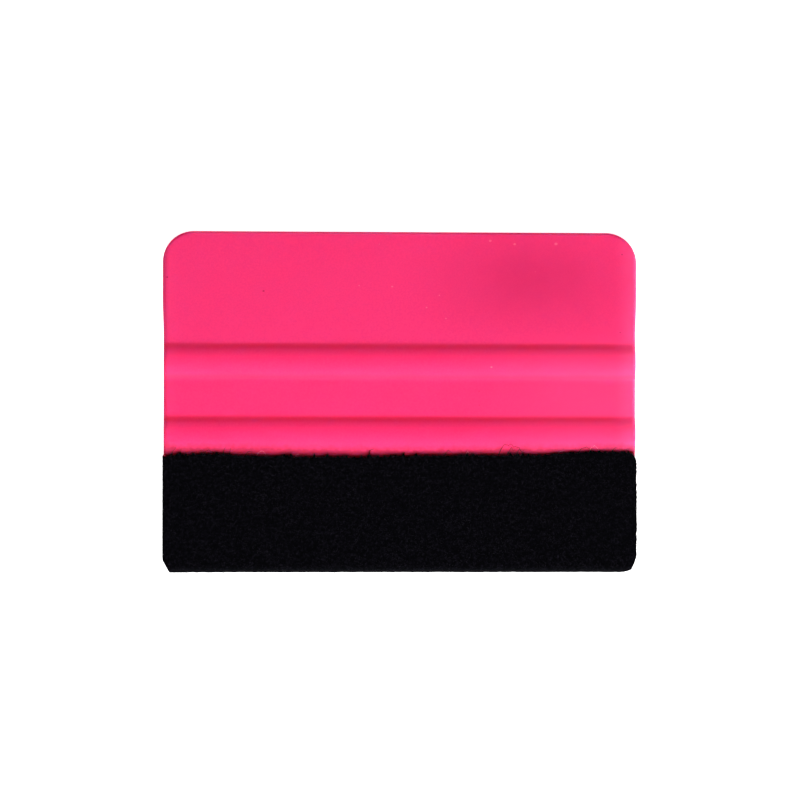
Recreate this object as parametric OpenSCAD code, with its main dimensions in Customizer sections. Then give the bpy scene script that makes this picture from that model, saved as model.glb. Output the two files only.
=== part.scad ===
/* [Card] */
// Width of the card, along its working edge
card_w = 100; // [80:1:140]
// Depth of the card, from its bare working edge to its hand edge
card_d = 70.4; // [66:0.1:90]
// Thickness of the card at its flat middle, between the ridges
card_t = 2.2; // [1.8:0.1:3]
// Thickness of the card at its two thin edges, which are fully rounded
edge_t = 1.4; // [1:0.1:1.6]
// Corner radius at the hand edge
hand_corner_r = 6.5; // [2:0.5:10]
// Corner radius at the working edge, under the felt
edge_corner_r = 2.4; // [1.5:0.1:3]

/* [Grip ridges] */
// Width of one ridge at its foot
ridge_w = 7.1; // [5:0.1:8]
// Height of one ridge above the flat, the same on both faces
ridge_h = 1.1; // [0.8:0.1:1.4]
// Distance between the middles of the two ridges
ridge_pitch = 15.4; // [12:0.1:18]

/* [Felt edge] */
// Cut width of the felt strip, which is folded in half over the working edge
felt_strip_w = 50; // [36:1:50]
// Thickness of the felt
felt_t = 1; // [0.6:0.1:1.5]
// Thickness of the felt strip's self-adhesive layer
adhesive_t = 0.1; // [0.05:0.01:0.2]
// How much thicker the felt is where it bunches round the fold
felt_fullness = 0.5; // [0:0.1:0.8]
// How far the felt stands out past each side of the card
felt_overhang = 0.2; // [0.1:0.05:0.5]
// Radius that the felt's folded corners are trimmed to
felt_corner_r = 2.6; // [2:0.1:3.4]

/* [Hidden] */
$fn = 96;

card_pink = [0.98, 0.22, 0.45];
adhesive_tan = [0.86, 0.84, 0.76];
felt_black = [0.05, 0.05, 0.06];

// Heights above and below the card's middle plane
card_half_t = card_t / 2;
crest_z = card_half_t + ridge_h;

// Each thin edge is a round nose, and the blade's two faces run from it to the foot of the nearer ridge
nose_r = edge_t / 2;
nose_y = card_d / 2 - nose_r;
foot_y = ridge_pitch / 2 + ridge_w / 2;
foot_dist = norm([nose_y - foot_y, card_half_t]);
taper = atan2(card_half_t, nose_y - foot_y) - asin(nose_r / foot_dist);

// A ridge is an arc over its foot width
ridge_r = (ridge_w * ridge_w / 4 + ridge_h * ridge_h) / (2 * ridge_h);

// The felt strip's two leaves are what its fold around the nose leaves over
glue_r = nose_r + adhesive_t;
felt_r = glue_r + felt_t;
fold_length = PI * (glue_r + felt_t / 2) + felt_fullness;
leaf_length = (felt_strip_w - fold_length) / 2;
felt_top_y = max(foot_y, nose_y - leaf_length);
felt_w = card_w + 2 * felt_overhang;

// The felt's inside is a little wider than the felt, so that its rounded corners run out through the ends
pocket_flare = 0.5;
pocket_w = felt_w + 2 * pocket_flare;
pocket_corner_r = edge_corner_r + adhesive_t + pocket_flare;

// Room left for the cutting prisms to reach past what they cut
clearance = 5;

// Height of a face that lies r outside the nose's centre, at the distance y from the card's middle
function face_z(r, y) = r / cos(taper) + (nose_y - y) * tan(taper);

// The whole part lies on its back, with its origin under the middle of its outer box
overall_half_t = max(crest_z, face_z(felt_r, felt_top_y - felt_fullness));
overall_front_y = -nose_y - felt_fullness - felt_r;
origin_shift_y = -(overall_front_y + card_d / 2) / 2;

// Places a part drawn about the card's own middle
module in_frame() {
    translate([0, origin_shift_y, overall_half_t]) children();
}

// Extrudes a section, drawn with Y to the right and Z up, along the card's width
module along_width(width) {
    rotate([90, 0, 90]) linear_extrude(height = width, center = true) children();
}

// Extrudes an outline, seen from above, through the card's thickness
module through_thickness() {
    linear_extrude(height = 2 * (overall_half_t + clearance), center = true) children();
}

// Tapered blade on the working side, with its faces r outside the nose's centre line
module blade(r, inner_y, width) {
    along_width(width) translate([-nose_y, 0]) circle(r);
    along_width(width) polygon([
        [-nose_y - r * sin(taper), r * cos(taper)],
        [-inner_y, face_z(r, inner_y)],
        [-inner_y, -face_z(r, inner_y)],
        [-nose_y - r * sin(taper), -r * cos(taper)]
    ]);
}

// One ridge: an arc on the front face and the same on the back, running on into the card at its feet
module ridge() {
    for (side = [0, 1]) mirror([0, 0, side]) along_width(card_w) intersection() {
        translate([0, crest_z - ridge_r]) circle(ridge_r);
        translate([-ridge_w, 0]) square([2 * ridge_w, crest_z + clearance]);
    }
}

// What a rounded corner leaves of the square around it, with the corner's point at the origin
module corner_waste(r) {
    difference() {
        translate([-clearance, -clearance]) square(r + clearance);
        translate([r, r]) circle(r);
    }
}

// A plan outline with its own corner radius at the working edge and at the hand edge
module plan(width, front_y, back_y, front_r, back_r) {
    difference() {
        translate([-width / 2, front_y]) square([width, back_y - front_y]);
        for (side = [0, 1]) mirror([side, 0]) {
            translate([-width / 2, front_y]) corner_waste(front_r);
            if (back_r > 0) translate([-width / 2, back_y]) mirror([0, 1]) corner_waste(back_r);
        }
    }
}

module card_solid() {
    intersection() {
        union() {
            along_width(card_w) square([ridge_pitch + ridge_w / 2, card_t], center = true);
            for (side = [0, 1]) mirror([0, side, 0]) {
                blade(nose_r, ridge_pitch / 2, card_w);
                translate([0, ridge_pitch / 2, 0]) ridge();
            }
        }
        through_thickness() plan(card_w, -card_d / 2, card_d / 2, edge_corner_r, hand_corner_r);
    }
}

// The space inside the folded felt, which the card's edge and the adhesive fill
module pocket_solid() {
    intersection() {
        blade(glue_r, felt_top_y, pocket_w);
        through_thickness() plan(pocket_w, -nose_y - glue_r, 0, pocket_corner_r, 0);
    }
}

// Moulded plastic card: two thin blades, a flat middle and two grip ridges on each face
module squeegee_card() {
    color(card_pink) in_frame() card_solid();
}

// Self-adhesive layer of the felt strip, folded over the card's edge
module felt_adhesive() {
    color(adhesive_tan) in_frame() difference() {
        intersection() {
            pocket_solid();
            along_width(felt_w) translate([-card_d, -card_t]) square([card_d, 2 * card_t]);
        }
        card_solid();
    }
}

// Felt strip, folded in half over the card's working edge
module felt_edge() {
    color(felt_black) in_frame() difference() {
        intersection() {
            translate([0, -felt_fullness, 0]) blade(felt_r, felt_top_y - felt_fullness, felt_w);
            through_thickness() plan(felt_w, overall_front_y, 0, felt_corner_r, 0);
        }
        pocket_solid();
    }
}

squeegee_card();
felt_adhesive();
felt_edge();
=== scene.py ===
"""A felt-edge squeegee card: the looks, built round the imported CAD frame. All lengths are in metres."""

import math

import bpy
import numpy as np
from mathutils import Matrix, Vector, noise


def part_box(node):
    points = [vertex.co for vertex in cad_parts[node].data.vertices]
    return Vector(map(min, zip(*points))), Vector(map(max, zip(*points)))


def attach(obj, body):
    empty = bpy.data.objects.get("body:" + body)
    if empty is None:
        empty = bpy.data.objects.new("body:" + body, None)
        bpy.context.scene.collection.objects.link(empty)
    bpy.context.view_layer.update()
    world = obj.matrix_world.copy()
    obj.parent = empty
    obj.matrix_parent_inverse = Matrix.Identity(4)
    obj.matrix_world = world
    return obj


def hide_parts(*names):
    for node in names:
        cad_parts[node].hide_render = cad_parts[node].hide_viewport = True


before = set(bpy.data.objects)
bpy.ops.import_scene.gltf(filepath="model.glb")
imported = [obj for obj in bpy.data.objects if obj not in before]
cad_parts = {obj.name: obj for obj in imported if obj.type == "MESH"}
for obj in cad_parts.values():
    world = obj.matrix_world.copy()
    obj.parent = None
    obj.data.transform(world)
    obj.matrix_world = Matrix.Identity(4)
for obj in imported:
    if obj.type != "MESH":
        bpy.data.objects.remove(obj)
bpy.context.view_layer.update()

MM = 0.001

# ----------------------------------------------------------------------------------------------------
# Sizes: the frame gives the boxes, and these few repeat the card's driving dimensions
# ----------------------------------------------------------------------------------------------------

card_lo, card_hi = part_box("squeegee_card")
glue_lo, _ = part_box("felt_adhesive")
felt_lo, felt_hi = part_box("felt_edge")

FLAT_HALF_T = 1.1 * MM
NOSE_R = 0.7 * MM
RIDGE_W = 7.1 * MM
RIDGE_PITCH = 15.4 * MM
HAND_CORNER_R = 6.5 * MM
EDGE_CORNER_R = 2.4 * MM
FELT_T = 1 * MM

CARD_W = card_hi.x - card_lo.x
CARD_D = card_hi.y - card_lo.y
MID_Y = (card_hi.y + card_lo.y) / 2
MID_Z = (card_hi.z + card_lo.z) / 2

# A ridge is an arc over its foot width
CREST_Z = (card_hi.z - card_lo.z) / 2
RIDGE_H = CREST_Z - FLAT_HALF_T
RIDGE_R = (RIDGE_W * RIDGE_W / 4 + RIDGE_H * RIDGE_H) / (2 * RIDGE_H)

# The blade's faces are tangent to its round nose and meet the ridge's foot
NOSE_Y = CARD_D / 2 - NOSE_R
FOOT_Y = (RIDGE_PITCH + RIDGE_W) / 2
FOOT_DIST = math.hypot(NOSE_Y - FOOT_Y, FLAT_HALF_T)
TAPER = math.atan2(FLAT_HALF_T, NOSE_Y - FOOT_Y) - math.asin(NOSE_R / FOOT_DIST)

# The felt strip: the radii of its two faces round the nose, and what its fold leaves over for a leaf
GLUE_R = NOSE_R + (card_lo.y - glue_lo.y)
FELT_R = GLUE_R + FELT_T
FULLNESS = glue_lo.y - felt_lo.y - FELT_T
LEAF = NOSE_Y - (MID_Y - felt_hi.y)
FELT_W = felt_hi.x - felt_lo.x

# ----------------------------------------------------------------------------------------------------
# Camera: straight down on the front face, from a little left of the middle
# ----------------------------------------------------------------------------------------------------

SENSOR_WIDTH = 36
VIEW_WIDTH = 169.3 * MM
CAMERA_HEIGHT = 650 * MM
CAMERA_LEFT = 35 * MM
CAMERA_ROLL = math.radians(0.12)
AIM = Vector((-0.05 * MM, 0.40 * MM, MID_Z))


def make_camera():
    data = bpy.data.cameras.new("camera")
    data.sensor_width = SENSOR_WIDTH
    data.lens = SENSOR_WIDTH * CAMERA_HEIGHT / VIEW_WIDTH
    data.clip_start = 0.05
    data.clip_end = 20
    camera = bpy.data.objects.new("camera", data)
    bpy.context.scene.collection.objects.link(camera)
    place = Matrix.Translation(AIM + Vector((-CAMERA_LEFT, 0, CAMERA_HEIGHT)))
    tilt = Matrix.Rotation(-math.atan2(CAMERA_LEFT, CAMERA_HEIGHT), 4, "Y")
    roll = Matrix.Rotation(CAMERA_ROLL, 4, "Z")
    camera.matrix_world = place @ (tilt @ roll)
    bpy.context.scene.camera = camera


make_camera()

# ----------------------------------------------------------------------------------------------------
# Mesh helpers
# ----------------------------------------------------------------------------------------------------


def mesh_object(name, points, faces):
    """A smooth-shaded mesh in the scene."""
    mesh = bpy.data.meshes.new(name)
    mesh.from_pydata(points.tolist(), [], faces)
    mesh.polygons.foreach_set("use_smooth", [True] * len(mesh.polygons))
    mesh.validate()
    mesh.update()
    piece = bpy.data.objects.new(name, mesh)
    bpy.context.scene.collection.objects.link(piece)
    return piece


def border_cells(rows, cols):
    """Row and column of each point round a grid's border, anticlockwise as its front is seen."""
    ring = [(0, c) for c in range(cols)]
    ring += [(r, cols - 1) for r in range(1, rows)]
    ring += [(rows - 1, c) for c in range(cols - 2, -1, -1)]
    ring += [(r, 0) for r in range(rows - 2, 0, -1)]
    return np.array(ring)


def closed_shell(name, front, back, rims):
    """A closed mesh from a front grid, a back grid and the loops of points between their borders."""
    rows, cols = front.shape[:2]
    ring = border_cells(rows, cols)
    index = np.arange(rows * cols).reshape(rows, cols)
    corners = [index[:-1, :-1], index[:-1, 1:], index[1:, 1:], index[1:, :-1]]
    quads = np.stack(corners, -1).reshape(-1, 4)
    faces = [quads, quads[:, ::-1] + rows * cols]
    border = index[ring[:, 0], ring[:, 1]]
    loops = [border]
    for k in range(len(rims)):
        loops.append(2 * rows * cols + k * len(ring) + np.arange(len(ring)))
    loops.append(border + rows * cols)
    for a, b in zip(loops, loops[1:]):
        faces.append(np.stack([a, b, np.roll(b, -1), np.roll(a, -1)], -1))
    points = np.concatenate([front.reshape(-1, 3), back.reshape(-1, 3), *rims])
    return mesh_object(name, points, np.concatenate(faces).tolist())


# How far one seed moves the noise along each axis, and how much finer each octave is than the last
SEED_STEP = (7.3, 3.1, 11.7)
OCTAVE = 2.1


def noise_field(points, size, seed, octaves=2):
    """Smooth noise of about -1 to 1 at each point, with features of about the given size."""
    offset = Vector([seed * step for step in SEED_STEP])
    flat = np.asarray(points, float).reshape(-1, 3) / size
    values = np.empty(len(flat))
    for i, point in enumerate(flat):
        place = Vector(point) + offset
        value = noise.noise(place)
        for octave in range(1, octaves):
            value += noise.noise(place * OCTAVE**octave) / 2**octave
        values[i] = value
    return values.reshape(np.shape(points)[:-1])


def smooth_max(a, b, blend):
    """The larger of two heights, with the crease between them filleted over blend."""
    near = np.clip(blend - np.abs(a - b), 0, None) / blend
    return np.maximum(a, b) + near * near * blend / 4


def eased(t):
    """0 to 1 with a soft start and a soft end, as t goes from 0 to 1."""
    t = np.clip(t, 0, 1)
    return t * t * (3 - 2 * t)


# ----------------------------------------------------------------------------------------------------
# The card: one moulding with filleted creases, rounded rims and a faint parting line
# ----------------------------------------------------------------------------------------------------

# The rounding of the rims, and how far in from the outline the faces' grids end
RIM_R = 0.8 * MM
RIM_IN = 0.9 * MM
RIM_STEPS = 9
INSET_END = CARD_D / 2 - RIM_IN

CREASE_FILLET = 0.45 * MM

# The parting line: half of the flat that it stands on, and how far it stands out
LAND_HALF = 0.03 * MM
FLASH = 0.02 * MM

# Slight waves in the faces
WAVINESS = 0.006 * MM
WAVE_SIZE = 14 * MM

# The thick ridges shrank more than the hand blade as the card cooled, so it flares a little from them
FLARE = 0.0045
FLARE_START = 12.5 * MM
FLARE_LENGTH = 9 * MM

# The face's grid is closer over the ridges, and a little past their feet
CARD_COLUMNS = 121
RIDGE_ROWS = 71
RIDGE_REACH = RIDGE_W / 2 + 0.35 * MM


def card_half_t(y):
    """Half the card's thickness at y from its middle, before the rims are rounded."""
    from_middle = np.abs(y)
    blade = NOSE_R / math.cos(TAPER) + (NOSE_Y - from_middle) * math.tan(TAPER)
    from_crest = np.clip(np.abs(from_middle - RIDGE_PITCH / 2), None, RIDGE_R)
    ridge = CREST_Z - RIDGE_R + np.sqrt(RIDGE_R**2 - from_crest**2)
    return smooth_max(np.minimum(blade, FLAT_HALF_T), ridge, CREASE_FILLET)


def card_points(x, y, z):
    """Points given from the card's middle, flared and placed in the frame."""
    flare = 1 + FLARE * eased((y - FLARE_START) / FLARE_LENGTH)
    return np.stack([x * flare, y + MID_Y, z + MID_Z], -1)


def card_rows():
    """Where the card's grid has its rows, from the working edge to the hand edge."""
    low_r = EDGE_CORNER_R - RIM_IN
    high_r = HAND_CORNER_R - RIM_IN
    low = -INSET_END + low_r * (1 - np.cos(np.radians(np.linspace(0, 90, 9))))
    high = INSET_END - high_r * (1 - np.cos(np.radians(np.linspace(90, 0, 20))))
    over_ridge = np.linspace(-RIDGE_REACH, RIDGE_REACH, RIDGE_ROWS)
    ridge = RIDGE_PITCH / 2
    parts = [
        low,
        np.linspace(low[-1], -ridge - RIDGE_REACH, 34)[1:-1],
        -ridge + over_ridge,
        np.linspace(-ridge + RIDGE_REACH, ridge - RIDGE_REACH, 18)[1:-1],
        ridge + over_ridge,
        np.linspace(ridge + RIDGE_REACH, high[0], 36)[1:-1],
        high,
    ]
    return np.concatenate(parts)


def corner_offset(x, y):
    """How far a point of the inset outline lies past its corner's centre, along X and Y, and its radius."""
    r = np.where(y > 0, HAND_CORNER_R, EDGE_CORNER_R) - RIM_IN
    dx = np.clip(np.abs(x) - (CARD_W / 2 - RIM_IN - r), 0, None) * np.sign(x)
    dy = np.clip(np.abs(y) - (INSET_END - r), 0, None) * np.sign(y)
    return dx, dy, r


def card_grid():
    """The places of the card's grid points within its inset outline."""
    y = card_rows()
    _, dy, r = corner_offset(np.full(len(y), 1.0), y)
    half_w = CARD_W / 2 - RIM_IN - r + np.sqrt(np.clip(r * r - dy * dy, 0, None))
    across = np.linspace(-1, 1, CARD_COLUMNS)
    return half_w[:, None] * across[None, :], np.repeat(y[:, None], CARD_COLUMNS, 1)


def card_outline(xs, ys):
    """The grid's border points, and the direction out of the card at each of them."""
    ring = border_cells(*xs.shape)
    x = xs[ring[:, 0], ring[:, 1]]
    y = ys[ring[:, 0], ring[:, 1]]
    out_x, out_y, _ = corner_offset(x, y)
    length = np.hypot(out_x, out_y)
    return x, y, out_x / length, out_y / length


def rim_loop(outline, distance):
    """A loop on the rounded rim, at a distance in from the card's outline."""
    x, y, out_x, out_y = outline
    x = x + out_x * (RIM_IN - distance)
    y = y + out_y * (RIM_IN - distance)
    half_t = card_half_t(y)
    r = np.minimum(RIM_R, half_t - LAND_HALF)
    inward = np.clip(r - distance, 0, None)
    return x, y, half_t - r + np.sqrt(np.clip(r * r - inward * inward, 0, None))


def card_face(xs, ys, seed):
    """Height of one face above the card's middle plane."""
    plan = np.stack([xs, ys, np.zeros_like(xs)], -1)
    return card_half_t(ys) + WAVINESS * noise_field(plan, WAVE_SIZE, seed)


def make_card():
    xs, ys = card_grid()
    outline = card_outline(xs, ys)
    angles = np.radians(np.linspace(0, 90, RIM_STEPS + 1))
    arcs = [rim_loop(outline, RIM_R * (1 - math.sin(a))) for a in angles]

    # The wall between the front's arcs and the back's, with the parting line standing out of its middle
    x, y, wall = arcs[-1]
    _, _, out_x, out_y = outline
    land = np.minimum(2 * LAND_HALF, 0.6 * wall)
    rims = [card_points(*loop) for loop in arcs]
    rims.append(card_points(x, y, (wall + land) / 2))
    rims.append(card_points(x, y, land))
    rims.append(card_points(x + out_x * FLASH, y + out_y * FLASH, 0 * wall))
    rims.append(card_points(x, y, -land))
    rims.append(card_points(x, y, -(wall + land) / 2))
    rims += [card_points(arc_x, arc_y, -arc_z) for arc_x, arc_y, arc_z in reversed(arcs)]

    front = card_points(xs, ys, card_face(xs, ys, 1))
    back = card_points(xs, ys, -card_face(xs, ys, 2))
    return closed_shell("card_moulding", front, back, rims)


# ----------------------------------------------------------------------------------------------------
# The felt strip and its adhesive: one sheet folded over the working edge
# ----------------------------------------------------------------------------------------------------

# Share of the strip's parameter w that the fold takes, on each side of the nose
FOLD_SHARE = 0.055
FOLD_ROWS = 23
FOLD_SWELL = 0.12 * MM

# How much closer together the grid's rows are towards the cut edges. 1 would space them evenly
EDGE_CROWDING = 1.25

# Places across the width, and how far each leaf's cut edge strays from its nominal line there, in mm
FRONT_EDGE = [
    (-51, -0.6), (-38, -0.2), (-33.5, -0.6), (-17, -0.82), (-5, -0.82), (5, -0.5), (20, -0.45),
    (30, -0.43), (36, 0.12), (41, 0.33), (51, 0.2),
]
BACK_EDGE = [(-51, -0.3), (-30, 0.1), (-5, 0.25), (20, 0.0), (51, -0.2)]

# How ragged the cut edges are: their wavering, and the tufts that stand out of them
RAGGED = 0.13 * MM
TUFT = 1.4 * MM

# How ragged the strip's right end is, as a share of how ragged the cut edges are
END_RAGGEDNESS = 0.4

# How far in the felt's outer face is worn down at its cut edges, and how deep
EDGE_ROUND = (0.6 * MM, 0.38 * MM)

# The strip's ends: the front leaf's rounded corner, the left folded corner cut straight (along X, along Y),
# the right one cut round with a slant, and what the ends are trimmed by
TOP_CORNER_R = 1.7 * MM
LEFT_CUT = (1.4 * MM, 2.6 * MM)
LEFT_TRIM = 0.03 * MM
RIGHT_CORNER_R = 2.6 * MM
RIGHT_SLANT = 0.38
RIGHT_TRIM = 0.06 * MM

# The right end leans in a little more over its upper part
LEAN = 0.1 * MM
LEAN_START = 13 * MM
LEAN_LENGTH = 9 * MM


def edge_curve(x, knots):
    """A smooth curve through a few (x, height) points in mm, in metres."""
    places, heights = np.array(knots, float).T * MM
    i = np.clip(np.searchsorted(places, x) - 1, 0, len(places) - 2)
    t = eased((x - places[i]) / (places[i + 1] - places[i]))
    return heights[i] * (1 - t) + heights[i + 1] * t


def ragged_line(seed):
    """Places along a cut edge, and how far its wavering and its tufts stray there."""
    x = np.linspace(-52 * MM, 52 * MM, 1041)
    line = np.stack([x, 0 * x, 0 * x], -1)
    waver = noise_field(line, 0.8 * MM, seed, 3) + 0.6 * noise_field(line, 3 * MM, seed + 1, 1)
    tufts = np.clip(noise_field(line, 0.5 * MM, seed + 2, 2) - 0.1, 0, None)
    crowded = np.clip(0.7 + noise_field(line, 9 * MM, seed + 3, 1), 0.35, 1.3)
    return x, RAGGED * waver + TUFT * tufts * crowded


FRONT_RAGGED = ragged_line(31)
BACK_RAGGED = ragged_line(34)
END_RAGGED = ragged_line(37)


def leaf_length(x, front):
    """Length of a leaf at x across the width, from the fold to its cut edge."""
    corner = np.clip(x - (felt_hi.x - TOP_CORNER_R), 0, TOP_CORNER_R * 0.98)
    rounded = TOP_CORNER_R - np.sqrt(TOP_CORNER_R**2 - corner**2)
    front_edge = edge_curve(x, FRONT_EDGE) + np.interp(x, *FRONT_RAGGED) - rounded
    back_edge = edge_curve(x, BACK_EDGE) + np.interp(x, *BACK_RAGGED)
    return LEAF + np.where(front, front_edge, back_edge)


def strip_ends(y):
    """Left and right ends of the strip at y, with the two folded corners trimmed."""
    cut_w, cut_h = LEFT_CUT
    left = felt_lo.x + LEFT_TRIM + cut_w * np.clip((felt_lo.y + cut_h - y) / cut_h, 0, 1)
    fall = np.clip(felt_lo.y + RIGHT_CORNER_R - y, 0, RIGHT_CORNER_R * 0.995)
    rounded = RIGHT_CORNER_R - np.sqrt(RIGHT_CORNER_R**2 - fall**2)
    slanted = RIGHT_SLANT * np.clip(felt_lo.y + 1.2 * RIGHT_CORNER_R - y, 0, None)
    right = felt_hi.x - RIGHT_TRIM - np.maximum(rounded, slanted)
    upper = np.clip((y - felt_lo.y - LEAN_START) / LEAN_LENGTH, 0, 1)
    return left, right - LEAN * upper + END_RAGGEDNESS * np.interp(y, *END_RAGGED)


def strip_point(u, w, r, inset=0.0):
    """Points of the folded strip and their outward normals. u is 0 to 1 across its width. w is -1 at the
    back edge, 0 at the nose and 1 at the front edge. r is how far it lies from the nose's centre line."""
    u, w, r = np.broadcast_arrays(np.asarray(u, float), np.asarray(w, float), np.asarray(r, float))
    turn = np.clip(w / FOLD_SHARE, -1, 1) * (math.pi / 2 - TAPER)
    fuller = (FULLNESS + FOLD_SWELL) * np.clip((r - GLUE_R) / FELT_T, 0, 1)
    nominal_x = felt_lo.x + u * FELT_W
    along = np.clip(np.abs(w) - FOLD_SHARE, 0, None) / (1 - FOLD_SHARE)
    along = along * (leaf_length(nominal_x, w > 0) + fuller - inset)
    normal_y = -np.cos(turn)
    normal_z = np.sin(turn)
    y = MID_Y - NOSE_Y - fuller + along * math.cos(TAPER) + r * normal_y
    z = MID_Z + along * math.sin(TAPER) * np.sign(w) + r * normal_z
    left, right = strip_ends(y)
    x = left + inset + u * (right - left - 2 * inset)
    return np.stack([x, y, z], -1), np.stack([np.zeros_like(normal_y), normal_y, normal_z], -1)


def edge_drop(w):
    """How far the felt's outer face is worn down near its cut edges."""
    reach, depth = EDGE_ROUND
    from_edge = (1 - np.abs(w)) / (1 - FOLD_SHARE) * LEAF
    near = np.clip(1 - from_edge / reach, 0, 1)
    return depth * (1 - np.sqrt(1 - near * near))


def strip_rows(rows):
    """The strip's w at each row of its grid, closer together towards the cut edges."""
    leaf = 1 - (1 - FOLD_SHARE) * np.linspace(1, 0, rows) ** EDGE_CROWDING
    fold = np.linspace(-FOLD_SHARE, FOLD_SHARE, FOLD_ROWS)[1:-1]
    return np.concatenate([-leaf[::-1], fold, leaf])


def above_table(points, lowest=0.0):
    return np.maximum(points, [-1, -1, lowest])


def edge_loops(edge_out, edge_in, ring, rows, cols, bulge):
    """Loops of points between the outer and the inner border of a strip, swelling outwards by bulge."""
    at_left = ring[:, 1] == 0
    at_right = ring[:, 1] == cols - 1
    at_cut = (ring[:, 0] == 0) | (ring[:, 0] == rows - 1)
    outward = np.zeros((len(ring), 3))
    outward[:, 0] = np.where(at_left, -0.3, np.where(at_right, 0.7, 0))
    outward[:, 1] = np.where(at_cut, 1, 0)
    loops = []
    for q in (0.15, 0.4, 0.65, 0.9):
        level = edge_out + (edge_in - edge_out) * q
        ragged = 0.5 + 0.5 * noise_field(level, 0.5 * MM, 9, 2) if bulge else 0
        swell = bulge * (math.sin(math.pi * q) * 0.4 + ragged * 0.6)
        loops.append(above_table(level + outward * np.reshape(swell, (-1, 1))))
    return loops


def folded_strip(name, r_in, r_out, rows, cols, inset=0.0, nap=0.0, bulge=0.0):
    """The strip as a closed sheet. nap is its surface lumps' height, and bulge swells its cut edges."""
    uu, ww = np.meshgrid(np.linspace(0, 1, cols), strip_rows(rows))
    outer, normal = strip_point(uu, ww, r_out - edge_drop(ww) if nap else r_out, inset)
    inner, _ = strip_point(uu, ww, r_in, inset)
    if nap:
        lumps = noise_field(outer, 1.3 * MM, 5, 3) + 0.7 * noise_field(outer, 5 * MM, 6, 1)
        outer = outer + normal * (nap * lumps)[..., None]
    ring = border_cells(*uu.shape)
    edge_out = outer[ring[:, 0], ring[:, 1]]
    edge_in = inner[ring[:, 0], ring[:, 1]]
    rims = edge_loops(edge_out, edge_in, ring, *uu.shape, bulge)
    return closed_shell(name, above_table(outer), above_table(inner), rims)


# ----------------------------------------------------------------------------------------------------
# Loose fibres: thin tapered tubes that follow wandering paths
# ----------------------------------------------------------------------------------------------------

FIBRE_R = 0.02 * MM
FIBRE_TIP = 0.35

# The radii of each kind of fibre. The long strays are small twists of several fibres
NAP_R = 1.35 * FIBRE_R
FUZZ_R = 0.75 * FIBRE_R
STRAY_R = 4.5 * FIBRE_R
GLINT_R = 1.3 * FIBRE_R

# Lengths of the nap and of the fuzz, in mm: the least, the mean of what is added to it, and the most added
NAP_LENGTHS = (0.16, 0.16, 0.7)
FUZZ_LENGTHS = (0.25, 0.38, 1.7)

# The shortest and longest fibres on the fold and on the strip's ends, in mm
FOLD_FIBRE = (0.2, 0.7)
END_FIBRE = (0.08, 0.3)

# How many fibres there are to a tuft, and how far they spread from it, as a share of the strip's width
FIBRES_PER_TUFT = 16
TUFT_SPREAD = 0.0016

# How deep in the felt's face the fibres are rooted
ROOT_DEPTH = 0.02 * MM


def unit(v):
    """Vectors of length 1 in the same directions."""
    return v / np.maximum(np.linalg.norm(v, axis=-1, keepdims=True), 1e-12)


def random_lengths(rng, count, least, mean_added, most_added):
    """Many short lengths and a few long ones, given in mm and returned in metres."""
    return (least + rng.exponential(mean_added, count).clip(0, most_added)) * MM


def wander(rng, starts, headings, lengths, steps, curl, flat_to=None, flatness=0.0):
    """Paths that set out along the headings and drift. flat_to is the normals of a surface to lie along."""
    heading = unit(headings)
    drift = unit(rng.normal(size=heading.shape))
    place = starts.copy()
    path = [place]
    for _ in range(steps):
        drift = unit(drift + 0.5 * rng.normal(size=heading.shape))
        heading = unit(heading + curl * drift)
        if flat_to is not None:
            lift = np.sum(heading * flat_to, -1, keepdims=True)
            heading = unit(heading - flatness * lift * flat_to)
        place = place + heading * (lengths / steps)[:, None]
        path.append(place)
    return np.stack(path, 1)


def fibre_tubes(name, paths, radius):
    """Three-sided tubes along the paths, thinning to their tips."""
    paths = above_table(paths, 0.3 * radius)
    count, steps = paths.shape[:2]
    tangent = unit(np.gradient(paths, axis=1))
    side = unit(np.cross(tangent, [0.31, 0.47, 0.83]))
    other = np.cross(tangent, side)
    thin = radius * np.linspace(1, FIBRE_TIP, steps)[None, :, None]
    rings = []
    for k in range(3):
        angle = 2 * math.pi * k / 3
        rings.append(paths + thin * (side * math.cos(angle) + other * math.sin(angle)))
    points = np.stack(rings, 2).reshape(-1, 3)

    first = np.arange(count)[:, None, None] * steps * 3 + np.arange(steps - 1)[None, :, None] * 3
    ring = first + np.arange(3)[None, None, :]
    turned = first + np.array([1, 2, 0])[None, None, :]
    quads = np.stack([ring, turned, turned + 3, ring + 3], -1).reshape(-1, 4)
    roots = np.arange(count) * steps * 3
    tips = roots + (steps - 1) * 3
    caps = [[k + 2, k + 1, k] for k in roots.tolist()]
    caps += [[k, k + 1, k + 2] for k in tips.tolist()]
    return mesh_object(name, points, quads.tolist() + caps)


def nap_fibres(name, count, seed, front):
    """Short curled fibres that lie on one leaf of the felt, more of them in some places than in others."""
    rng = np.random.default_rng(seed)
    u = rng.uniform(0.004, 0.996, 2 * count)
    w = rng.uniform(0.0, 0.995, 2 * count)
    thickness = noise_field(np.stack([100 * u, 25 * w, 0 * u], -1), 6.0, seed, 2)
    kept = np.argsort(-thickness - 2.4 * rng.uniform(-1, 1, 2 * count))[:count]
    u, w = u[kept], w[kept]
    roots, normal = strip_point(u, w if front else -w, FELT_R - ROOT_DEPTH - edge_drop(w))
    heading = rng.normal(size=roots.shape)
    heading -= np.sum(heading * normal, -1, keepdims=True) * normal
    heading = unit(heading) + 0.35 * rng.uniform(0, 1, count)[:, None] * normal
    lengths = random_lengths(rng, count, *NAP_LENGTHS)
    return fibre_tubes(name, wander(rng, roots, heading, lengths, 3, 0.8, normal, 0.5), NAP_R)


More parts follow.
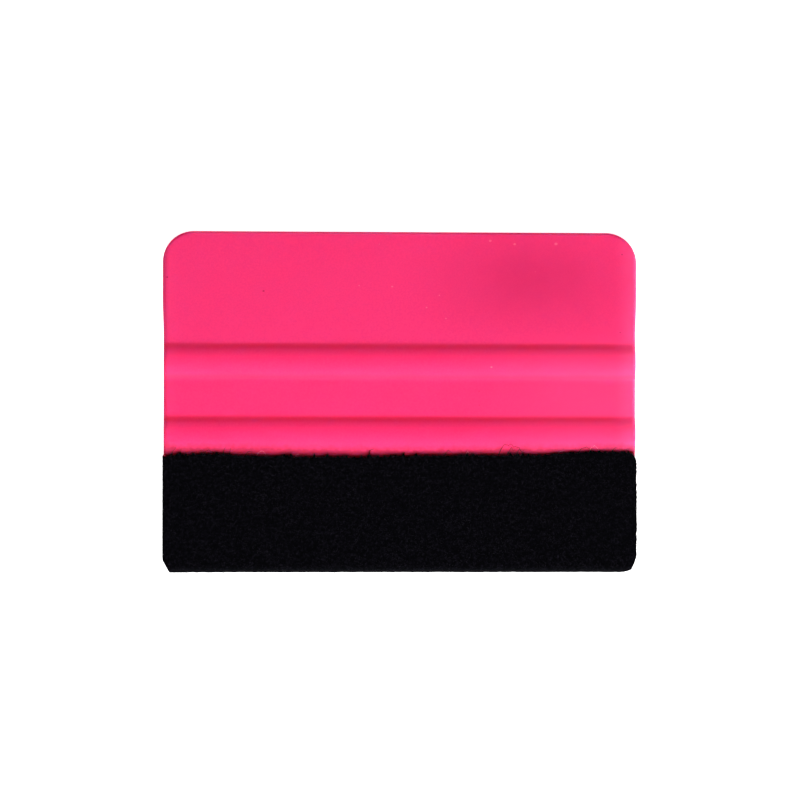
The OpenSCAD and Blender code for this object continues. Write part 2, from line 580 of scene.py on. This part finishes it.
def edge_fibres(name, count, seed, front):
    """Fuzz along one leaf's cut edge, most of it in tufts, lying out over the card."""
    rng = np.random.default_rng(seed)
    tufts = rng.uniform(0.0, 1.0, count // FIBRES_PER_TUFT)
    u = np.clip(rng.choice(tufts, count) + rng.normal(0, TUFT_SPREAD, count), 0, 1)
    u = np.where(rng.uniform(size=count) < 0.3, rng.uniform(0, 1, count), u)
    depth = rng.uniform(0, 1, count)
    sign = 1 if front else -1
    roots, normal = strip_point(u, sign * rng.uniform(0.985, 1.0, count), GLUE_R + FELT_T * depth)
    heading = np.zeros_like(roots)
    heading[:, 0] = rng.normal(0, 0.8, count)
    heading[:, 1] = 1
    heading += normal * rng.normal(0.0, 0.3, count)[:, None]
    lengths = random_lengths(rng, count, *FUZZ_LENGTHS)
    paths = wander(rng, roots, heading, lengths, 5, 0.6)
    return fibre_tubes(name, clear_of_card(paths, front), FUZZ_R)


def clear_of_card(paths, front):
    """The same paths, lifted where they would run into the card's face."""
    least = card_half_t(paths[..., 1] - MID_Y) + 1.5 * FIBRE_R
    height = paths[..., 2] - MID_Z
    lifted = np.maximum(height, least) if front else np.minimum(height, -least)
    return np.concatenate([paths[..., :2], (lifted + MID_Z)[..., None]], -1)


def end_fibres(name, count, seed):
    """Short fuzz on the strip's two cut ends, more of it on the right one, and along its fold."""
    rng = np.random.default_rng(seed)
    at_fold = rng.uniform(size=count) < 0.5
    across = rng.uniform(0.02, 0.98, count)
    end = np.where(rng.uniform(size=count) < 0.25, 0.0, 1.0)
    u = np.where(at_fold, across, end)
    w = np.where(at_fold, rng.uniform(-FOLD_SHARE, FOLD_SHARE, count), rng.uniform(-1, 1, count))
    r = np.where(at_fold, FELT_R - ROOT_DEPTH, GLUE_R + FELT_T * rng.uniform(0, 1, count))
    roots, normal = strip_point(u, w, r)
    heading = 0.8 * rng.normal(size=roots.shape)
    heading[:, 0] += np.where(at_fold, 0, np.where(u < 0.5, -1, 1))
    flatter = heading - 0.6 * np.sum(heading * normal, -1, keepdims=True) * normal
    heading = np.where(at_fold[:, None], flatter, heading)
    lengths = np.where(at_fold, rng.uniform(*FOLD_FIBRE, count), rng.uniform(*END_FIBRE, count)) * MM
    return fibre_tubes(name, wander(rng, roots, heading, lengths, 4, 0.4), FIBRE_R)


# Long strays at the front leaf's cut edge, each through (x, how far out from the edge) points in mm
DARK_STRAYS = [
    [(-48.3, -0.2), (-48.1, 0.8), (-47.9, 1.3), (-47.4, 1.7)],
    [(-41.8, -0.2), (-41.2, 0.8), (-40.3, 1.0), (-39.6, 0.6), (-39.2, -0.1)],
    [(-37.4, -0.2), (-37.3, 0.9), (-37.0, 1.6)],
    [(-36.1, -0.2), (-36.0, 0.9), (-35.8, 1.6)],
    [(-33.0, -0.2), (-32.5, 0.8), (-31.9, 1.1), (-31.2, 0.9)],
    [(-6.6, -0.2), (-6.5, 0.9), (-6.2, 1.5), (-5.7, 1.9)],
    [(9.2, -0.2), (9.6, 0.9), (10.3, 1.2), (11.0, 0.7)],
    [
        (20.6, -0.2), (21.1, 1.3), (21.7, 2.3), (22.6, 2.6), (23.3, 2.0), (24.0, 1.8), (24.6, 2.1),
        (25.3, 1.3), (26.5, -0.2),
    ],
    [(22.4, -0.2), (22.9, 0.9), (23.6, 1.3), (24.2, 1.1)],
    [(24.4, -0.2), (24.9, 0.9), (25.4, 1.2), (26.1, 0.6)],
    [(37.6, -0.2), (38.2, 0.9), (39.3, 1.2), (40.1, 0.8)],
    [(44.8, -0.2), (45.2, 0.8), (46.0, 1.0)],
]
# Strays whose pale colour is a painted highlight for light glinting on dark fibres, each through (x, how
# far out) points in mm
PALE_STRAYS = [
    [(-30.6, -0.2), (-30.1, 0.7), (-29.4, 1.3), (-28.8, 1.0), (-28.2, 0.2)],
    [(-22.6, -0.2), (-22.0, 0.6), (-21.5, 0.8)],
    [(13.6, -0.2), (14.1, 0.6), (14.9, 0.5)],
    [(33.4, -0.2), (33.8, 0.5), (34.5, 0.7)],
    [(40.0, -0.2), (40.5, 1.0), (41.2, 1.4), (41.9, 0.9), (42.3, -0.1)],
]
STRAY_STEPS = 25


def softened(values):
    """The values with their corners rounded off and their two ends kept."""
    for _ in range(3):
        values[1:-1] = (values[:-2] + 2 * values[1:-1] + values[2:]) / 4
    return values


def stray_fibres(name, strands, radius):
    """Long loose fibres, each one a smooth curve through its points, lying over the card."""
    paths = []
    for strand in strands:
        knots = np.array(strand, float) * MM
        reach = np.concatenate([[0], np.cumsum(np.linalg.norm(np.diff(knots, axis=0), axis=1))])
        at = np.linspace(0, reach[-1], STRAY_STEPS)
        x = softened(np.interp(at, reach, knots[:, 0]))
        out = softened(np.interp(at, reach, knots[:, 1]))
        edge, _ = strip_point(np.clip((x - felt_lo.x) / FELT_W, 0, 1), 1.0, GLUE_R)
        y = edge[:, 1] + out
        lift = 0.45 * MM * np.clip(out / MM, 0, 1) + 0.25 * MM
        paths.append(np.stack([x, y, MID_Z + card_half_t(y - MID_Y) + lift], -1))
    return fibre_tubes(name, np.array(paths), radius)


# ----------------------------------------------------------------------------------------------------
# Materials
# ----------------------------------------------------------------------------------------------------


class Nodes:
    """Short names for building one material's node tree."""

    def __init__(self, name):
        self.material = bpy.data.materials.new(name)
        self.material.use_nodes = True
        self.tree = self.material.node_tree
        self.shader = self.tree.nodes["Principled BSDF"]
        self.place = self.tree.nodes.new("ShaderNodeTexCoord").outputs["Object"]

    def add(self, kind, inputs=None, **settings):
        node = self.tree.nodes.new("ShaderNode" + kind)
        for key, value in settings.items():
            setattr(node, key, value)
        for key, value in (inputs or {}).items():
            self.feed(node.inputs[key], value)
        return node

    def feed(self, socket, value):
        """Links a socket to another one, or sets it to a constant."""
        if isinstance(value, bpy.types.NodeSocket):
            self.tree.links.new(value, socket)
        else:
            socket.default_value = value

    def noise(self, scale, detail=2.0, distortion=0.0, place=None):
        inputs = {"Vector": place or self.place, "Scale": scale, "Detail": detail, "Distortion": distortion}
        return self.add("TexNoise", inputs).outputs["Fac"]

    def streaked(self, length, width, turn):
        """The place for a noise whose features are streaks, turned in the card's plane by degrees."""
        rotation = (0, 0, math.radians(turn))
        inputs = {"Vector": self.place, "Rotation": rotation, "Scale": (length, width, width)}
        return self.add("Mapping", inputs, vector_type="TEXTURE").outputs["Vector"]

    def spot(self, x, y, radius_x, radius_y, soft=1.0):
        """1 in an oval spot on either face and 0 outside it. soft is the share that its soft rim takes."""
        inputs = {"Vector": self.place, "Location": (x, y, 0), "Scale": (radius_x, radius_y, 1e6)}
        inside = self.add("Mapping", inputs, vector_type="TEXTURE").outputs["Vector"]
        distance = self.add("VectorMath", {0: inside}, operation="LENGTH").outputs["Value"]
        return self.ramp(distance, 1.0, 1.0 - soft, smooth=True)

    def ramp(self, value, low, high, to_low=0.0, to_high=1.0, smooth=False):
        inputs = {"Value": value, "From Min": low, "From Max": high, "To Min": to_low, "To Max": to_high}
        kind = "SMOOTHSTEP" if smooth else "LINEAR"
        return self.add("MapRange", inputs, clamp=True, interpolation_type=kind).outputs["Result"]

    def band(self, value, centre, half_width, share):
        """Rises to share where the value is at the centre, and is 0 from half_width away."""
        away = self.maths("ABSOLUTE", self.maths("SUBTRACT", value, centre))
        return self.ramp(away, half_width, 0, 0, share, smooth=True)

    def maths(self, operation, a, b=0.0):
        return self.add("Math", {0: a, 1: b}, operation=operation).outputs[0]

    def times(self, a, b):
        return self.maths("MULTIPLY", a, b)

    def most(self, values):
        """The largest of several values."""
        highest = values[0]
        for value in values[1:]:
            highest = self.maths("MAXIMUM", highest, value)
        return highest

    def mix(self, share, a, b):
        node = self.add("Mix", {"Factor": share}, data_type="RGBA")
        first, second = [socket for socket in node.inputs if socket.type == "RGBA"]
        self.feed(first, a)
        self.feed(second, b)
        return [socket for socket in node.outputs if socket.type == "RGBA"][0]

    def bump(self, height, distance, strength=1.0, under=None):
        inputs = {"Height": height, "Distance": distance, "Strength": strength}
        if under is not None:
            inputs["Normal"] = under
        return self.add("Bump", inputs).outputs["Normal"]

    def set(self, **values):
        """Sets the shader's inputs, whose names' spaces are written as underscores."""
        for key, value in values.items():
            self.feed(self.shader.inputs[key.replace("_", " ")], value)
        return self.material


PINK = (0.84, 0.0295, 0.155, 1)
DEEP_PINK = (0.825, 0.0277, 0.149, 1)
# Painted shade: a darker red for the thin hand blade
SHADED_BLADE_PINK = (0.7, 0.0292, 0.152, 1)
PALE_PINK = (0.87, 0.047, 0.186, 1)
# Painted light: a paler pink for the ridges towards the right end
LIT_PINK = (0.87, 0.045, 0.179, 1)
# Painted highlight: a pale pink for the lit rims
RIM_HIGHLIGHT = (0.95, 0.115, 0.33, 1)
SHADED_RIM = (0.45, 0.024, 0.1, 1)
# Painted shade: a dark patch on the hand blade
SHADE_PATCH = (0.565, 0.0193, 0.113, 1)
# Painted shadow: the felt edge's shadow on the card
FELT_SHADOW = (0.2, 0.003, 0.01, 1)
# Painted shade: a dark red for the ridges' creases and the upper ridge's inner foot
CREASE_SHADE = (0.7, 0.015, 0.015, 1)
DARK_SPECK = (0.3, 0.004, 0.02, 1)
PALE_SPECK = (0.95, 0.3, 0.42, 1)

# Where the painted shade of the ridges' creases on the hand side lies along Y, and of the upper ridge's
# foot by the flat middle
UPPER_CREASE = MID_Y + RIDGE_PITCH / 2 + RIDGE_W / 2 - 0.15 * MM
LOWER_CREASE = MID_Y - RIDGE_PITCH / 2 + RIDGE_W / 2 - 0.15 * MM
INNER_FOOT = MID_Y + RIDGE_PITCH / 2 - RIDGE_W / 2 + 0.3 * MM

# Painted highlights and painted shade along the card's edges: the axis, where each one starts and where it
# is complete in mm, its share there, and its colour
RIM_LIGHT_AND_SHADE = [
    ("X", 45, 50.4, 0.37, RIM_HIGHLIGHT),
    ("X", 49.0, 50.1, 0.62, RIM_HIGHLIGHT),
    ("X", -46, -49.6, 0.06, RIM_HIGHLIGHT),
    ("X", -48.8, -50.2, 0.75, SHADED_RIM),
    ("Y", 35.1, 35.9, 0.7, RIM_HIGHLIGHT),
]

# A few marks on the card: x, y and radius in mm
DARK_MARKS = [(-29.0, 23.35, 0.32), (47.1, 31.4, 0.24), (-49.3, 26.2, 0.3), (46.7, 14.8, 0.2)]
PALE_MARKS = [
    (19.0, 34.2, 0.4), (24.2, 33.5, 0.4), (33.0, 33.6, 0.5), (-1.8, 24.4, 0.3), (19.2, 7.4, 0.32),
    (5.5, 20.0, 0.25), (8.2, 22.6, 0.22), (9.6, 17.7, 0.22),
]


def pigment(nodes, axes):
    """The plastic's own colour, a little uneven, and darker on the thin hand blade as painted shade."""
    colour = nodes.mix(nodes.ramp(nodes.noise(60, 2), 0.35, 0.65), PINK, DEEP_PINK)
    # Painted shade on the hand blade
    colour = nodes.mix(nodes.ramp(axes["Y"], 11.2 * MM, 12.8 * MM, smooth=True), colour, SHADED_BLADE_PINK)
    return nodes.mix(nodes.ramp(nodes.noise(2600, 1), 0.3, 0.7, 0, 0.3), colour, PALE_PINK)


def with_painted_light(nodes, colour, axes):
    """Painted light: the ridges a little paler towards the right end, then painted highlights and painted
    shade along the edges.
    """
    # Painted light from the right: paler towards the right end, less of it on the hand blade
    lower_share = nodes.ramp(axes["Y"], 16 * MM, 9 * MM, 0.12, 1, smooth=True)
    lit_paler = nodes.times(nodes.ramp(axes["X"], 8 * MM, 44 * MM, smooth=True), lower_share)
    colour = nodes.mix(lit_paler, colour, LIT_PINK)
    # Painted highlights on the rims, and painted shade on the left rim
    for axis, start, end, share, paint in RIM_LIGHT_AND_SHADE:
        there = nodes.ramp(axes[axis], start * MM, end * MM, 0, share, smooth=True)
        colour = nodes.mix(there, colour, paint)
    return colour


def with_crease_shade(nodes, colour, axes):
    """Painted shade in the ridges' creases, less of it at the right end, and at the upper ridge's inner
    foot.
    """
    fading_at_right = nodes.ramp(axes["X"], 43 * MM, 48 * MM, 1, 0.1, smooth=True)
    for crease in (UPPER_CREASE, LOWER_CREASE):
        crease_shade = nodes.times(nodes.band(axes["Y"], crease, 1.0 * MM, 0.36), fading_at_right)
        colour = nodes.mix(crease_shade, colour, CREASE_SHADE)
    return nodes.mix(nodes.band(axes["Y"], INNER_FOOT, 0.8 * MM, 0.22), colour, CREASE_SHADE)


def with_felt_shadow(nodes, colour, axes):
    """Painted shadow of the felt's edge on the card, reaching less far at its middle."""
    level = nodes.maths("SUBTRACT", axes["Y"], nodes.times(nodes.maths("ABSOLUTE", axes["X"]), 0.013))
    level = nodes.maths("ADD", level, nodes.ramp(nodes.noise(900, 2), 0.3, 0.7, -0.3 * MM, 0.3 * MM))
    return nodes.mix(nodes.ramp(level, -9.2 * MM, -10.6 * MM, 0, 0.6), colour, FELT_SHADOW)


def with_shade_patch(nodes, colour):
    """A patch of painted shade on the hand blade, with a wider and fainter one round it."""
    wide = nodes.spot(29 * MM, 25 * MM, 33 * MM, 17.5 * MM)
    core = nodes.spot(28 * MM, 26.3 * MM, 16 * MM, 9 * MM)
    shade_patch = nodes.maths("ADD", nodes.times(wide, 0.6), nodes.times(core, 0.22))
    shade_patch = nodes.times(shade_patch, nodes.ramp(nodes.noise(160, 2), 0.3, 0.7, 0.8, 1.1))
    return nodes.mix(shade_patch, colour, SHADE_PATCH)


def with_specks(nodes, colour):
    """The few marks, and dust in the middles of a few small cells, some pale and some dark."""
    for marks, share, paint in ((DARK_MARKS, 0.8, DARK_SPECK), (PALE_MARKS, 0.3, PALE_SPECK)):
        for x, y, radius in marks:
            mark = nodes.spot(x * MM, y * MM, radius * MM, 0.8 * radius * MM, 0.7)
            colour = nodes.mix(nodes.times(mark, share), colour, paint)
    cells = nodes.add("TexVoronoi", {"Vector": nodes.place, "Scale": 240.0})
    dot = nodes.ramp(cells.outputs["Distance"], 0.05, 0.02)
    chance = nodes.add("SeparateColor", {"Color": cells.outputs["Color"]}).outputs["Red"]
    pale_dot = nodes.times(dot, nodes.maths("GREATER_THAN", chance, 0.85))
    dark_dot = nodes.times(dot, nodes.maths("LESS_THAN", chance, 0.08))
    colour = nodes.mix(nodes.times(pale_dot, 0.25), colour, PALE_SPECK)
    return nodes.mix(nodes.times(dark_dot, 0.45), colour, DARK_SPECK)


def moulded_surface(nodes):
    """A fine moulded texture and slight waves, with patches of hair scratches in three directions."""
    scratches = []
    for turn in (14, -28, 71):
        scratch = nodes.noise(1.0, 1, distortion=0.3, place=nodes.streaked(14 * MM, 0.16 * MM, turn))
        patches = nodes.ramp(nodes.noise(110, 1), 0.5, 0.62)
        scratches.append(nodes.times(nodes.ramp(scratch, 0.69, 0.76), patches))
    moulded = nodes.bump(nodes.noise(3800, 2), 0.008 * MM, 0.7)
    waves = nodes.bump(nodes.noise(260, 2), 0.03 * MM, 0.3, moulded)
    return nodes.bump(nodes.most(scratches), -0.004 * MM, 0.5, waves)


def card_plastic():
    nodes = Nodes("card_plastic")
    axes = nodes.add("SeparateXYZ", {"Vector": nodes.place}).outputs
    colour = with_painted_light(nodes, pigment(nodes, axes), axes)
    colour = with_felt_shadow(nodes, with_crease_shade(nodes, colour, axes), axes)
    colour = with_specks(nodes, with_shade_patch(nodes, colour))
    return nodes.set(
        Base_Color=colour,
        Roughness=nodes.ramp(nodes.noise(500, 3), 0.3, 0.7, 0.57, 0.65),
        Normal=moulded_surface(nodes),
        Specular_IOR_Level=0.055,
        Subsurface_Weight=1.0,
        Subsurface_Radius=(1.0, 0.2, 0.14),
        Subsurface_Scale=1.1 * MM,
    )


FELT_SHADE = (0.0001, 0.0001, 0.0004, 1)
FELT_FLECK = (0.0072, 0.0063, 0.0102, 1)
DARK_FIBRE = (0.0145, 0.0127, 0.018, 1)
# Painted highlight: a pale pink standing for light glinting on dark fibres
GLINT_FIBRE = (0.85, 0.24, 0.36, 1)


def felt_cloth():
    nodes = Nodes("felt_cloth")
    flecks = []
    for turn in (8, 51, 97, 139):
        fleck = nodes.noise(1.0, 2, distortion=1.2, place=nodes.streaked(0.7 * MM, 0.16 * MM, turn))
        flecks.append(nodes.ramp(fleck, 0.58, 0.7))
    flecks = nodes.most(flecks)
    clumps = nodes.noise(1400, 3)
    light = nodes.times(flecks, nodes.ramp(clumps, 0.4, 0.62, 0.1, 1))
    matted = nodes.bump(clumps, 0.3 * MM, 0.8)
    return nodes.set(
        Base_Color=nodes.mix(light, FELT_SHADE, FELT_FLECK),
        Roughness=nodes.ramp(clumps, 0.3, 0.7, 0.82, 0.98),
        Normal=nodes.bump(flecks, 0.06 * MM, 0.8, matted),
        Specular_IOR_Level=0.02,
        Sheen_Weight=0.004,
        Sheen_Roughness=0.5,
        Sheen_Tint=(0.8, 0.85, 1.0, 1),
    )


def felt_fibre(name, colour):
    return Nodes(name).set(Base_Color=colour, Roughness=0.65, Specular_IOR_Level=0.03)


def tape_film():
    nodes = Nodes("tape_film")
    bubbles = nodes.noise(1500, 3)
    return nodes.set(
        Base_Color=nodes.mix(nodes.ramp(bubbles, 0.35, 0.7), (0.16, 0.13, 0.1, 1), (0.26, 0.22, 0.17, 1)),
        Roughness=nodes.ramp(bubbles, 0.3, 0.7, 0.25, 0.5),
        Normal=nodes.bump(bubbles, 0.01 * MM, 0.5),
    )


def floor_paint():
    """A floor with light of its own, as a light table has, which leaves it white right up to the card."""
    nodes = Nodes("floor_paint")
    return nodes.set(
        Base_Color=nodes.mix(nodes.noise(3, 2), (0.80, 0.80, 0.80, 1), (0.82, 0.82, 0.82, 1)),
        Roughness=0.9,
        Specular_IOR_Level=0.0,
        Emission_Color=(1, 1, 1, 1),
        Emission_Strength=1.0,
    )


# ----------------------------------------------------------------------------------------------------
# Pieces
# ----------------------------------------------------------------------------------------------------


def finish_piece(piece, material, slot, *nodes):
    """Gives a piece its material, hides the CAD nodes that it stands for, and rides it on the only body."""
    piece.data.materials.append(material)
    if nodes:
        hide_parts(*nodes)
    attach(piece, "root")


card = make_card()
finish_piece(card, card_plastic(), "card_plastic", "squeegee_card")
film = folded_strip("adhesive_film", NOSE_R, GLUE_R, rows=30, cols=101, inset=0.25 * MM)
finish_piece(film, tape_film(), "adhesive", "felt_adhesive")
felt = folded_strip("felt_strip", GLUE_R, FELT_R, rows=42, cols=430, nap=0.055 * MM, bulge=0.12 * MM)
finish_piece(felt, felt_cloth(), "felt", "felt_edge")

dark_fibre = felt_fibre("felt_fibre", DARK_FIBRE)
fuzz = [
    nap_fibres("felt_nap_front_1", 6400, seed=21, front=True),
    nap_fibres("felt_nap_front_2", 6400, seed=26, front=True),
    nap_fibres("felt_nap_back", 8000, seed=22, front=False),
    edge_fibres("felt_fuzz_front", 4200, seed=23, front=True),
    edge_fibres("felt_fuzz_back", 3600, seed=24, front=False),
    end_fibres("felt_fuzz_ends", 2400, seed=25),
    stray_fibres("felt_strays", DARK_STRAYS, STRAY_R),
]
for tuft in fuzz:
    finish_piece(tuft, dark_fibre, "felt")
# Painted highlights: a few strays coloured pale for light glinting on dark fibres
glint_strays = stray_fibres("felt_glint_strays", PALE_STRAYS, GLINT_R)
finish_piece(glint_strays, felt_fibre("glint_fibre", GLINT_FIBRE), "felt")

# ----------------------------------------------------------------------------------------------------
# Stage and light
# ----------------------------------------------------------------------------------------------------

FLOOR_HALF = 6.0

# Area lights: where they are, how big, and their power in watts. All point at the card
KEY_LIGHT = ("key", (0.03, -0.46, 0.465), (0.45, 0.35), 9.8)
SIDE_LIGHT = ("side", (0.30, 0.0, 0.03), (0.3, 0.05), 0.3)
ROOM_LIGHT = 0.04


def make_floor():
    corners = np.array([[-1, -1, 0], [1, -1, 0], [1, 1, 0], [-1, 1, 0]]) * FLOOR_HALF
    floor = mesh_object("floor", corners, [[0, 1, 2, 3]])
    floor.data.materials.append(floor_paint())


def area_light(name, place, size, power):
    data = bpy.data.lights.new(name, "AREA")
    data.shape = "RECTANGLE"
    data.size, data.size_y = size
    data.energy = power
    light = bpy.data.objects.new(name, data)
    light.visible_camera = False
    bpy.context.scene.collection.objects.link(light)
    light.location = place
    light.rotation_mode = "QUATERNION"
    light.rotation_quaternion = Vector(place).to_track_quat("Z", "Y")


def make_world(strength):
    """An even, dim room that looks white where the camera sees it past the floor."""
    world = bpy.data.worlds.new("studio")
    world.use_nodes = True
    tree = world.node_tree
    background = tree.nodes["Background"]
    background.inputs["Color"].default_value = (1, 1, 1, 1)
    seen = tree.nodes.new("ShaderNodeLightPath").outputs["Is Camera Ray"]
    brightness = tree.nodes.new("ShaderNodeMapRange")
    brightness.inputs["To Min"].default_value = strength
    brightness.inputs["To Max"].default_value = 1.0
    tree.links.new(seen, brightness.inputs["Value"])
    tree.links.new(brightness.outputs["Result"], background.inputs["Strength"])
    bpy.context.scene.world = world


make_floor()
area_light(*KEY_LIGHT)
area_light(*SIDE_LIGHT)
make_world(ROOM_LIGHT)
bpy.context.scene.view_settings.view_transform = "Standard"
